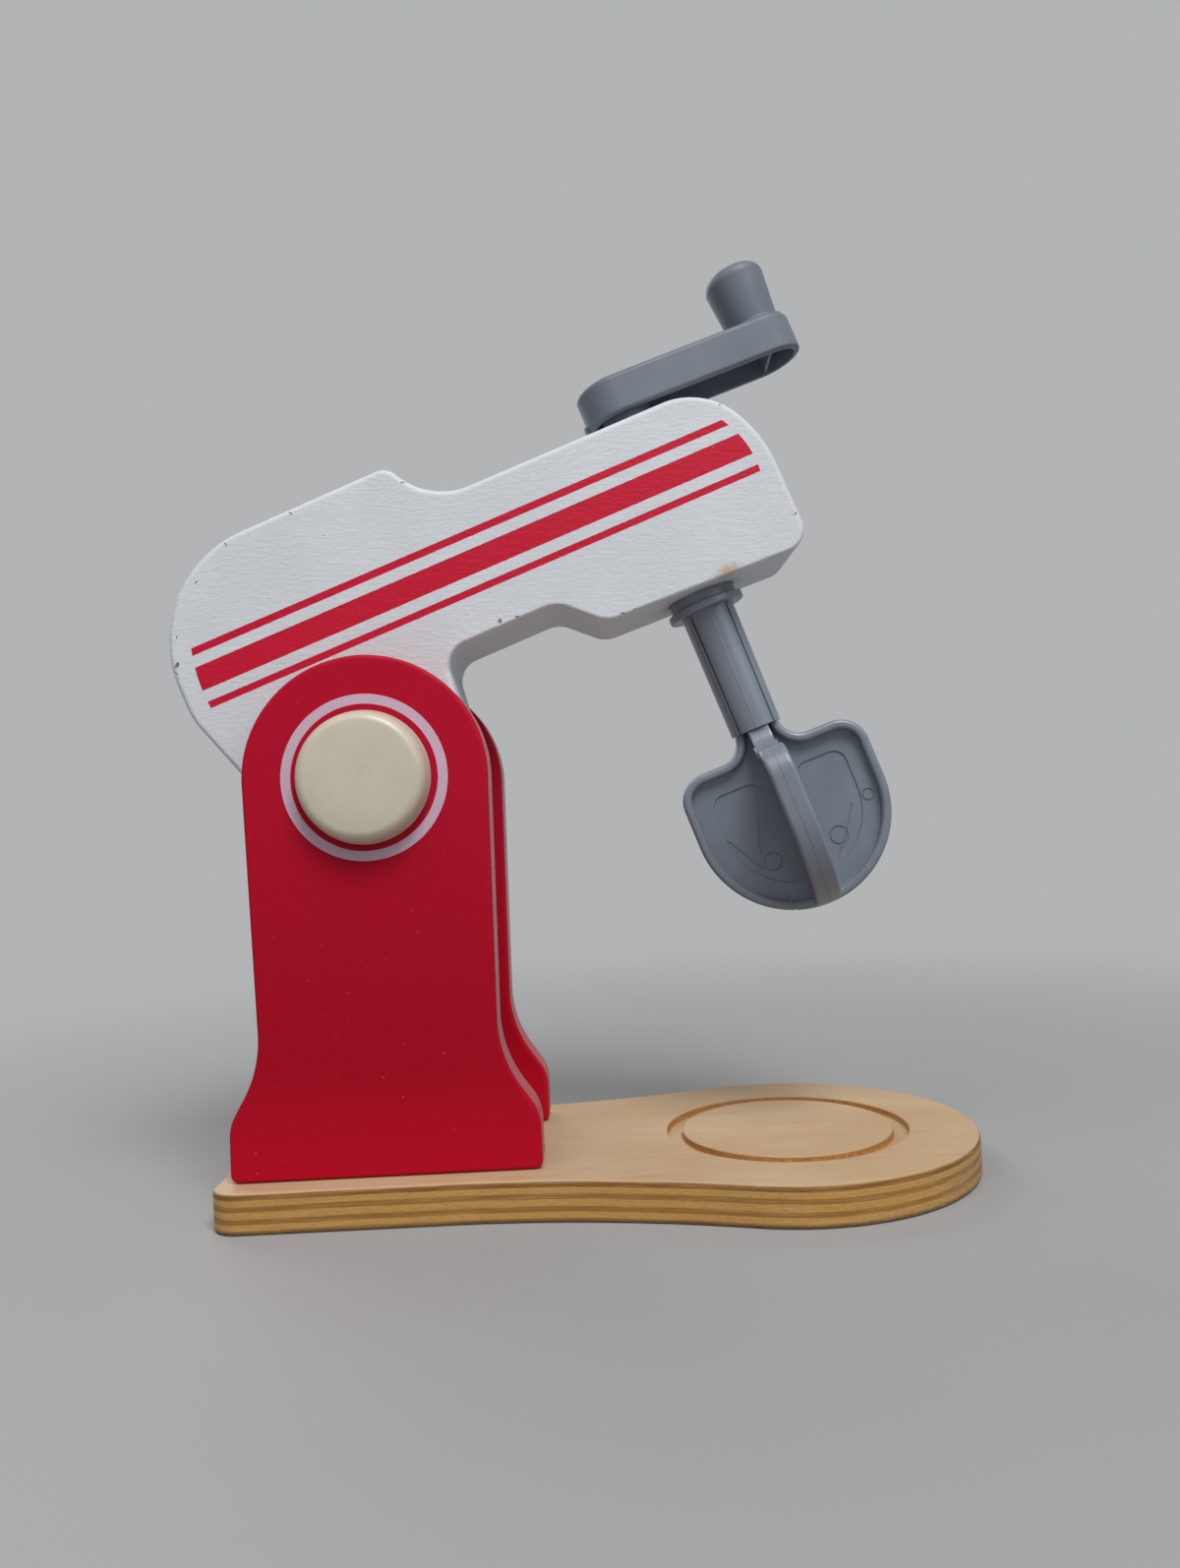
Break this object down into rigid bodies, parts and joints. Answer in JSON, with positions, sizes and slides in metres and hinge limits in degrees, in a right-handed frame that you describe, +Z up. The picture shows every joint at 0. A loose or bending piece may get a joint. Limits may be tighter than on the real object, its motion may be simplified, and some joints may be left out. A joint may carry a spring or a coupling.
{
  "type": "toy stand mixer",
  "caption": "Wooden toy stand mixer with a tilting head, a hand crank that turns the beater below it, turning side dials, and a base board with a grooved bowl seat.",
  "frame": {"origin": "on the underside of the base board, at the middle of its length and width", "axes": "+X from the stand towards the bowl seat, +Y to the toy's left, +Z up"},
  "size_m": [0.2509, 0.1206, 0.3022],
  "materials": {
    "plywood": "clear satin varnish on birch plywood, plies bare at the edge",
    "red_paint": "satin red paint on wood board",
    "white_paint": "satin white paint on solid wood, red stripes on both sides",
    "cream_paint": "smooth satin cream paint",
    "grey_plastic": "moulded blue-grey plastic, satin",
    "white_plastic": "natural nylon",
    "bare_wood": "bare beech dowel",
    "steel": "zinc plated"
  },
  "bodies": {
    "stand": {"base_board": "plywood", "side_panel_right": "red_paint", "side_panel_left": "red_paint", "stand_spacer": "red_paint", "stop_dowel": "bare_wood", "cross_dowel_lower": "bare_wood", "cross_dowel_upper": "bare_wood", "locating_dowel_right": "bare_wood", "locating_dowel_left": "bare_wood", "panel_screw_right_rear": "steel", "panel_screw_right_front": "steel", "panel_screw_left_rear": "steel", "panel_screw_left_front": "steel", "spacer_screw_rear": "steel", "spacer_screw_front": "steel"},
    "dial": {"pivot_axle": "bare_wood", "dial_knob_right": "cream_paint", "dial_knob_left": "cream_paint"},
    "head": {"mixer_head": "white_paint", "tilt_washer_right": "white_plastic", "tilt_washer_left": "white_plastic", "crank_bush": "grey_plastic"},
    "drive": {"crank_handle": "grey_plastic", "drive_sleeve": "grey_plastic", "beater": "grey_plastic", "drive_washer": "steel", "drive_screw": "steel"}
  },
  "joints": [
    {"name": "head_tilt", "type": "hinge", "parent": "stand", "child": "head", "pos_m": [-0.069, 0, 0.1316], "axis": [0, -1, 0], "range_deg": [-20.75, 14.25]},
    {"name": "crank_spin", "type": "hinge", "parent": "head", "child": "drive", "pos_m": [0.04443, 0, 0.17458], "axis": [-0.333, 0, 0.9429], "continuous": true},
    {"name": "dial_turn", "type": "hinge", "parent": "stand", "child": "dial", "pos_m": [-0.069, 0, 0.1316], "axis": [0, -1, 0], "continuous": true}
  ]
}
